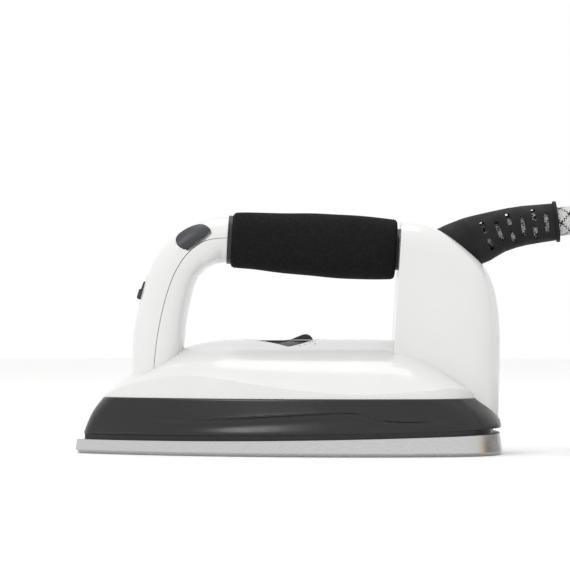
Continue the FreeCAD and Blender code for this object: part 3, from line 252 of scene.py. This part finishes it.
def carried(node):
    """The Blender object of a carried CAD node."""
    return bpy.data.objects[node]


for material, nodes in MATERIALS.items():
    for node in nodes:
        piece = carried(node)
        piece.data.materials.clear()
        piece.data.materials.append(material)


def new_piece(name, mesh, material, body="iron"):
    """Adds a mesh as a piece that rides on a body."""
    piece = bpy.data.objects.new(name, mesh)
    bpy.context.scene.collection.objects.link(piece)
    mesh.materials.append(material)
    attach(piece, body)
    return piece


def smooth(mesh):
    for face in mesh.polygons:
        face.use_smooth = True


def grid_mesh(name, rings, closed_rings=True, loop_over=True):
    """A mesh of quads over equally long rings of points, given in millimetres."""
    mesh = bpy.data.meshes.new(name)
    size = len(rings[0])
    verts = [tuple(v * MM for v in p) for ring in rings for p in ring]
    count = len(rings)
    faces = []
    for i in range(count if loop_over else count - 1):
        for k in range(size if closed_rings else size - 1):
            a, b = i * size + k, i * size + (k + 1) % size
            up = ((i + 1) % count) * size
            faces.append((a, b, up + (k + 1) % size, up + k))
    mesh.from_pydata(verts, [], faces)
    build = bmesh.new()
    build.from_mesh(mesh)
    bmesh.ops.recalc_face_normals(build, faces=build.faces)
    build.to_mesh(mesh)
    build.free()
    smooth(mesh)
    return mesh


def smoothstep(value, start, end):
    share = min(max((value - start) / (end - start), 0.0), 1.0)
    return share * share * (3 - 2 * share)


# ---------------------------------------------------------------- skirt

HEEL_RADIUS, WIDEST_AT, CORNER_RADIUS = 190.0, 40.0, 35.0
# Height, nose, heel and half width of the skirt's surface, as in the model.
SKIRT_LEVELS = [
    (9.0, -111.3, 114.9, 56.0), (16.0, -108.8, 113.6, 54.8),
    (23.0, -105.4, 109.5, 52.9), (30.4, -99.8, 102.7, 50.4),
]
# The pressed line along the skirt's side: distance along X, and height.
CREASE = [(-57, 18.7), (-22, 20.6), (19, 22.9), (32, 23.4), (40, 22.3), (45, 20.6), (52, 19.3), (63, 18.7),
          (95, 19.0)]


def interpolate(table, x, column=1):
    """A smooth value from a table with its key in the first column."""
    if x <= table[0][0]:
        return table[0][column]
    for i, (low, high) in enumerate(zip(table, table[1:])):
        if x <= high[0]:
            before = table[max(i - 1, 0)]
            after = table[min(i + 2, len(table) - 1)]
            span = high[0] - low[0]
            t = (x - low[0]) / span
            slope_low = (high[column] - before[column]) / (high[0] - before[0]) * span
            slope_high = (after[column] - low[column]) / (after[0] - low[0]) * span
            return (
                (2 * t**3 - 3 * t**2 + 1) * low[column] + (t**3 - 2 * t**2 + t) * slope_low
                + (3 * t**2 - 2 * t**3) * high[column] + (t**3 - t**2) * slope_high
            )
    return table[-1][column]


def outline(nose, heel, half, nose_r, corner_r, inset, steps):
    """Points round a flat iron's outline of six tangent arcs, with the outward direction at each."""
    reach = WIDEST_AT - nose - nose_r
    side_r = (half**2 + reach**2 - nose_r**2) / (2 * (half - nose_r))
    side_c = Vector((WIDEST_AT, half - side_r))
    nose_c, heel_c = Vector((nose + nose_r, 0)), Vector((heel - HEEL_RADIUS, 0))
    near, far = side_r - corner_r, HEEL_RADIUS - corner_r
    gap = heel_c - side_c
    along = (near**2 - far**2 + gap.length**2) / (2 * gap.length)
    way = gap.normalized()
    corner_c = side_c + way * along + Vector((way.y, -way.x)) * math.sqrt(near**2 - along**2)
    side_start = (nose_c - side_c).normalized()
    side_end = (corner_c - side_c).normalized()
    heel_start = (corner_c - heel_c).normalized()

    def angle(v):
        return math.atan2(v.y, v.x)

    arcs = [
        (nose_c, nose_r, math.pi, angle(side_start), steps[0]),
        (side_c, side_r, angle(side_start), angle(side_end), steps[1]),
        (corner_c, corner_r, angle(side_end), angle(heel_start), steps[2]),
        (heel_c, HEEL_RADIUS, angle(heel_start), 0.0, steps[3]),
    ]
    upper = []
    for centre, radius, first, last, count in arcs:
        for i in range(count):
            turn = first + (last - first) * i / count
            out = Vector((math.cos(turn), math.sin(turn)))
            upper.append((centre + out * (radius - inset), out))
    upper.append((heel_c + Vector((HEEL_RADIUS - inset, 0)), Vector((1, 0))))
    lower = [(Vector((p.x, -p.y)), Vector((o.x, -o.y))) for p, o in reversed(upper[1:-1])]
    return upper + lower


def skirt_ring(level, inset, scoop=False):
    """One ring of the skirt's surface, between its bottom edge (0) and its flat top (1)."""
    low, top = 10.5, SKIRT_LEVELS[-1][0]
    base = low + (top - low) * level
    nose = interpolate(SKIRT_LEVELS, base, 1)
    heel = interpolate(SKIRT_LEVELS, base, 2)
    half = interpolate(SKIRT_LEVELS, base, 3)
    ring = []
    for point, out in outline(nose, heel, half, 9.0 + (base - 9.0) * 0.35, CORNER_RADIUS, inset, (10, 90, 24, 12)):
        share = (point.x / 115.15 + 1) / 2
        z = base + 4.0 * share * share * (1 - level)
        if scoop:
            strength = smoothstep(point.x, -85, -20) * (1 - smoothstep(point.x, 62, 100))
            crease = interpolate(CREASE, point.x)
            under = crease - z
            if under > 0:
                depth = 1.75 * (1 - math.exp(-under / 1.1)) * (1 - smoothstep(under, 3.0, crease - 10.5))
            else:
                depth = -0.5 * math.exp(under / 2.2)
            point = point - out * depth * strength
        ring.append((point.x, point.y, z))
    return ring


def make_skirt():
    """The glossy skirt with its pressed line: outer wall, rounded edges and an inner wall."""
    rings = []
    rows = 44
    for i in range(rows + 1):
        level = i / rows
        edge = 0.45 * (math.exp(-i / 0.8) + math.exp(-(rows - i) / 0.8))
        rings.append(skirt_ring(level, edge, scoop=0 < i < rows))
    for level in (1.0, 0.5, 0.0):
        rings.append(skirt_ring(level, 2.4))
    return grid_mesh("skirt_shell", rings)


skirt = new_piece("skirt_shell", make_skirt(), skirt_black)
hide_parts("skirt")

# ---------------------------------------------------------------- foam grip

GRIP_START, GRIP_END = Vector((-32.9, 0, 115.1)), Vector((59.6, 0, 109.7))
GRIP_WAY = (GRIP_END - GRIP_START).normalized()
GRIP_UP = Vector((-GRIP_WAY.z, 0, GRIP_WAY.x))
# Distance along the grip's axis, height above it, depth below it, and half width.
GRIP_SECTIONS = [
    (2.2, 14.9, 15.1, 14.9), (6.0, 15.3, 15.3, 15.2), (15.0, 15.7, 15.6, 15.6),
    (29.0, 16.4, 16.4, 16.0), (46.0, 17.0, 17.3, 16.4), (64.0, 17.4, 17.6, 16.4),
    (78.0, 17.0, 17.3, 16.2), (91.0, 16.3, 16.3, 16.0),
]


def make_grip():
    """The foam sleeve: an oval tube with softly rounded ends and slightly uneven skin."""
    first, last = GRIP_SECTIONS[0][0], GRIP_SECTIONS[-1][0]
    rounding, rows, around = 2.2, 90, 96
    rings = []
    stations = [first + rounding * (1 - math.cos(math.radians(a))) for a in range(0, 90, 15)]
    stations += [first + rounding + (last - first - 2 * rounding) * i / rows for i in range(rows + 1)]
    stations += [last - rounding * (1 - math.cos(math.radians(a))) for a in range(75, -1, -15)]
    for at in stations:
        end = min(at - first, last - at)
        drop = 0.0
        if end < rounding:
            drop = rounding - math.sqrt(rounding**2 - (rounding - end) ** 2)
        top, bottom, half = (interpolate(GRIP_SECTIONS, at, c) for c in (1, 2, 3))
        ring = []
        for k in range(around):
            a = 2 * math.pi * k / around
            up = (top if math.sin(a) > 0 else bottom) - drop
            wobble = 0.10 * math.sin(3 * a + at * 0.21) + 0.07 * math.sin(5 * a - at * 0.13)
            up, side = up - 0.25 + wobble, half - drop - 0.25 + wobble
            place = GRIP_START + GRIP_WAY * at + GRIP_UP * up * math.sin(a)
            ring.append((place.x, place.y + side * math.cos(a), place.z))
        rings.append(ring)
    for at in (last, first):
        place = GRIP_START + GRIP_WAY * at
        ring = []
        for k in range(around):
            a = 2 * math.pi * k / around
            spot = place + GRIP_UP * 9.7 * math.sin(a)
            ring.append((spot.x, 9.7 * math.cos(a), spot.z))
        rings.append(ring)
    return grid_mesh("foam_sleeve", rings)


grip = new_piece("foam_sleeve", make_grip(), grip_foam)
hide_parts("foam_grip")

# ---------------------------------------------------------------- temperature scale

DIAL_X = -8.0


def on_cover(x, y):
    """The height of the cover's surface above a point of the plan, in millimetres."""
    hit, place, _, _ = carried("top_cover").ray_cast(Vector((x * MM, y * MM, 0.1)), Vector((0, 0, -1)))
    return place.z / MM if hit else None


def patch(radius_one, radius_two, angle_one, angle_two, steps=4):
    """A thin printed bar that follows the cover, between two radii and two angles about the dial."""
    rings = []
    for i in range(steps + 1):
        ring = []
        for j in range(steps + 1):
            radius = radius_one + (radius_two - radius_one) * i / steps
            angle = math.radians(angle_one + (angle_two - angle_one) * j / steps)
            x, y = DIAL_X + radius * math.cos(angle), radius * math.sin(angle)
            ring.append((x, y, on_cover(x, y) + 0.04))
        rings.append(ring)
    return rings


def make_scale():
    """A ring of ticks that grow longer towards the hot end, with a dot at each main setting."""
    mesh = bpy.data.meshes.new("dial_scale")
    build = bmesh.new()
    parts = []
    for i in range(13):
        angle = -54 + 9 * i
        length = 0.9 + 1.5 * i / 12
        wide = 0.55 if i % 3 else 0.9
        parts.append(patch(23.2, 23.2 + length, angle - wide, angle + wide))
    for count, angle in ((1, -36), (2, 0), (3, 36)):
        for dot in range(count):
            middle = angle + (dot - (count - 1) / 2) * 3.6
            parts.append(patch(26.8, 27.8, middle - 1.0, middle + 1.0))
    for rings in parts:
        grid = [[build.verts.new([v * MM for v in p]) for p in ring] for ring in rings]
        for one, two in zip(grid, grid[1:]):
            for k in range(len(one) - 1):
                build.faces.new((one[k], two[k], two[k + 1], one[k + 1]))
    bmesh.ops.recalc_face_normals(build, faces=build.faces)
    build.to_mesh(mesh)
    build.free()
    return mesh


ink = satin_plastic("ink", (0.03, 0.03, 0.032), 0.5)
scale = new_piece("dial_scale", make_scale(), ink)

# ---------------------------------------------------------------- hose

HOSE_DIAMETER = 15.5 * MM
HOSE_ROUTE = [
    (89.0, 0.0, 110.3), (112.0, 0.0, 119.2), (139.0, 0.0, 124.5), (166.0, 0.0, 126.3),
    (192.6, -7.2, 121.3), (214.4, -20.1, 108.7), (229.4, -32.8, 87.9), (242.4, -40.6, 63.6),
    (262.6, -41.8, 43.6), (286.7, -35.0, 29.7),
]
TAIL_ROUTE = [(172.6, 13.0, 7.9), (172.2, -10.0, 9.6), (171.4, -33.0, 10.4)]
COIL_CENTRE = (258.0, 35.0)
COIL_INNER, COIL_OUTER, COIL_TOP = 69.5, 85.5, 77.5
FLOOR_LEVEL, TOP_LEVEL = 7.8, 21.2


def blend_between(value, start, end, first, last):
    """Goes smoothly from first to last as value goes from start to end."""
    share = min(max((value - start) / (end - start), 0.0), 1.0)
    return first + (last - first) * share * share * (3 - 2 * share)


def coil_points():
    """One point every 18 degrees: the top turn, down to the inner turn, then out to the outer one."""
    points = []
    start, leave, step = -46, 900, 18
    for turn in range(start, leave - 5, step):
        if turn < 560:
            radius = blend_between(turn, 232, 296, COIL_TOP, COIL_INNER)
            level = blend_between(turn, 236, 300, TOP_LEVEL, FLOOR_LEVEL)
            if 200 < turn < 236:
                level = TOP_LEVEL + 2.4
        else:
            radius = blend_between(turn, 560, 602, COIL_INNER, COIL_OUTER)
            level = FLOOR_LEVEL
        radius /= math.cos(math.radians(step / 2)) ** 0.5
        angle = math.radians(turn)
        x = COIL_CENTRE[0] + radius * math.cos(angle)
        y = COIL_CENTRE[1] + radius * math.sin(angle)
        points.append((x, y, level))
    return points


def make_hose():
    """The hose's centre line, as one smooth spline."""
    points = HOSE_ROUTE + coil_points() + TAIL_ROUTE
    curve = bpy.data.curves.new("hose_line", "CURVE")
    curve.dimensions = "3D"
    spline = curve.splines.new("NURBS")
    spline.points.add(len(points) - 1)
    for point, place in zip(spline.points, points):
        point.co = (*(v * MM for v in place), 1.0)
    spline.order_u = 3
    spline.use_endpoint_u = True
    spline.resolution_u = 8
    return curve


def read_line(curve):
    """Points along a curve that has no bevel."""
    probe = bpy.data.objects.new("probe", curve)
    mesh = bpy.data.meshes.new_from_object(probe)
    line = [v.co.copy() for v in mesh.vertices]
    bpy.data.objects.remove(probe)
    bpy.data.meshes.remove(mesh)
    return line


def resample(line, gap):
    """The same line with points at an even gap."""
    total = sum((b - a).length for a, b in zip(line, line[1:]))
    count = max(2, round(total / gap))
    step = total / count
    out, want, walked = [line[0]], step, 0.0
    for a, b in zip(line, line[1:]):
        length = (b - a).length
        while length > 0 and walked + length >= want - 1e-9 and len(out) < count:
            out.append(a.lerp(b, (want - walked) / length))
            want += step
        walked += length
    out.append(line[-1])
    return out, total


def frames(line):
    """A rotation-minimising pair of normals along a line."""
    pairs = []
    normal = Vector((0, 1, 0))
    for i, point in enumerate(line):
        ahead = line[min(i + 1, len(line) - 1)] - line[max(i - 1, 0)]
        ahead.normalize()
        normal = (normal - ahead * normal.dot(ahead)).normalized()
        pairs.append((normal, ahead.cross(normal)))
    return pairs


def tube_mesh(name, line, radius, sides, color_at=None):
    """A tube along a line, with UVs that run round it and along it in metres."""
    mesh = bpy.data.meshes.new(name)
    verts, faces = [], []
    for point, (one, two) in zip(line, frames(line)):
        for k in range(sides):
            a = 2 * math.pi * k / sides
            verts.append(point + (one * math.cos(a) + two * math.sin(a)) * radius)
    for i in range(len(line) - 1):
        for k in range(sides):
            a, b = i * sides + k, i * sides + (k + 1) % sides
            faces.append((a, b, b + sides, a + sides))
    faces.append(tuple(reversed(range(sides))))
    faces.append(tuple(range(len(verts) - sides, len(verts))))
    mesh.from_pydata(verts, [], faces)
    uv = mesh.uv_layers.new(name="along")
    lengths = [0.0]
    for a, b in zip(line, line[1:]):
        lengths.append(lengths[-1] + (b - a).length)
    for face in mesh.polygons[:-2]:
        i = face.index // sides
        k = face.index % sides
        corners = [(k, i), (k + 1, i), (k + 1, i + 1), (k, i + 1)]
        for loop, (side, row) in zip(face.loop_indices, corners):
            uv.data[loop].uv = (side / sides, lengths[row])
    smooth(mesh)
    return mesh


def braid(name):
    """Pale textile braid: crossing yarns in relief, with black yarns woven in as short zigzags."""
    m = Nodes(name, (0.70, 0.70, 0.68), 0.75, specular=0.3)
    coords = m.add("ShaderNodeUVMap", uv_map="along").outputs["UV"]
    split = m.add("ShaderNodeSeparateXYZ")
    m.link(coords, split.inputs["Vector"])

    def maths(kind, one, two=None):
        node = m.add("ShaderNodeMath", operation=kind)
        for i, value in enumerate((one, two)):
            if value is None:
                continue
            if isinstance(value, (int, float)):
                node.inputs[i].default_value = value
            else:
                m.link(value, node.inputs[i])
        return node.outputs[0]

    def wave(turns, pitch, sign):
        """One family of yarns: its phase runs round the hose and along it."""
        around = maths("MULTIPLY", split.outputs["X"], turns)
        along = maths("MULTIPLY", split.outputs["Y"], sign * turns / pitch)
        return maths("ADD", around, along)

    turns, pitch = 20, 0.046
    right, left = wave(turns, pitch, 1.0), wave(turns, pitch, -1.0)
    ridge_r = maths("SINE", maths("MULTIPLY", right, 2 * math.pi))
    ridge_l = maths("SINE", maths("MULTIPLY", left, 2 * math.pi))
    over = maths("GREATER_THAN", maths("MULTIPLY", ridge_r, ridge_l), 0.0)
    height = maths("MAXIMUM", ridge_r, ridge_l)
    dark_r = maths("LESS_THAN", maths("FRACT", maths("MULTIPLY", right, 0.25)), 0.22)
    dark_l = maths("LESS_THAN", maths("FRACT", maths("MULTIPLY", left, 0.25)), 0.22)
    picked = m.add("ShaderNodeMix", data_type="FLOAT")
    m.link(over, picked.inputs[0])
    m.link(dark_r, picked.inputs[2])
    m.link(dark_l, picked.inputs[3])
    fibre = m.noise(2500.0, 3.0)
    pale = m.tint(fibre, (0.50, 0.50, 0.49), (0.78, 0.78, 0.76))
    mix = m.add("ShaderNodeMix", data_type="RGBA")
    m.link(picked.outputs[0], mix.inputs[0])
    m.link(pale, mix.inputs[6])
    mix.inputs[7].default_value = (0.02, 0.02, 0.022, 1)
    m.color(mix.outputs[2])
    m.bump(height, 0.6, 0.0005)
    m.bump(fibre, 0.4, 0.0002)
    m.shader.inputs["Sheen Weight"].default_value = 0.15
    return m.mat


hose_line, hose_length = resample(read_line(make_hose()), 2.6 * MM)
hose = new_piece("braided_hose", tube_mesh("braided_hose", hose_line, HOSE_DIAMETER / 2, 28), braid("braid"))
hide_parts("steam_hose", "hose_coil", "hose_tail")
print("hose length", round(hose_length, 3))

# ---------------------------------------------------------------- studio


def area_light(name, place, target, size, energy, size_y=None, color=(1, 1, 1)):
    """A soft rectangular lamp that faces a point."""
    data = bpy.data.lights.new(name, "AREA")
    data.energy = energy
    data.color = color
    data.shape = "RECTANGLE"
    data.size = size
    data.size_y = size_y or size
    lamp = bpy.data.objects.new(name, data)
    lamp.location = place
    lamp.rotation_euler = (Vector(target) - Vector(place)).to_track_quat("-Z", "Y").to_euler()
    bpy.context.scene.collection.objects.link(lamp)


def make_studio():
    """A round pale floor under an even sky, soft lights, and the camera level with the handle."""
    mesh = bpy.data.meshes.new("floor")
    rim = [math.radians(angle) for angle in range(0, 360, 5)]
    radius = 2.6
    mesh.from_pydata([(radius * math.cos(a), radius * math.sin(a), 0) for a in rim], [],
                     [tuple(range(len(rim)))])
    paper = Nodes("paper", (0.93, 0.93, 0.925), 0.85, specular=0.2)
    paper.bump(paper.noise(300.0, 3.0), 0.05, 0.0002)
    mesh.materials.append(paper.mat)
    floor = bpy.data.objects.new("floor", mesh)
    bpy.context.scene.collection.objects.link(floor)

    world = bpy.data.worlds.new("studio")
    world.use_nodes = True
    world.node_tree.nodes["Background"].inputs["Color"].default_value = (1, 1, 1, 1)
    world.node_tree.nodes["Background"].inputs["Strength"].default_value = 1.0
    bpy.context.scene.world = world
    middle = (0.0, 0.0, 0.07)
    area_light("key", (-0.6, -0.7, 1.25), middle, 0.5, 4.0)
    area_light("top", (0.0, 0.25, 1.3), middle, 0.7, 3.0)

    data = bpy.data.cameras.new("camera")
    data.sensor_width = 36.0
    distance = 2.0
    data.lens = 36.0 * distance / (307.8 * MM)
    camera = bpy.data.objects.new("camera", data)
    camera.location = (-1.97 * MM, -distance, 90.6 * MM)
    camera.rotation_euler = (math.radians(90), 0, 0)
    bpy.context.scene.collection.objects.link(camera)
    bpy.context.scene.camera = camera


make_studio()
bpy.context.scene.view_settings.view_transform = "Standard"
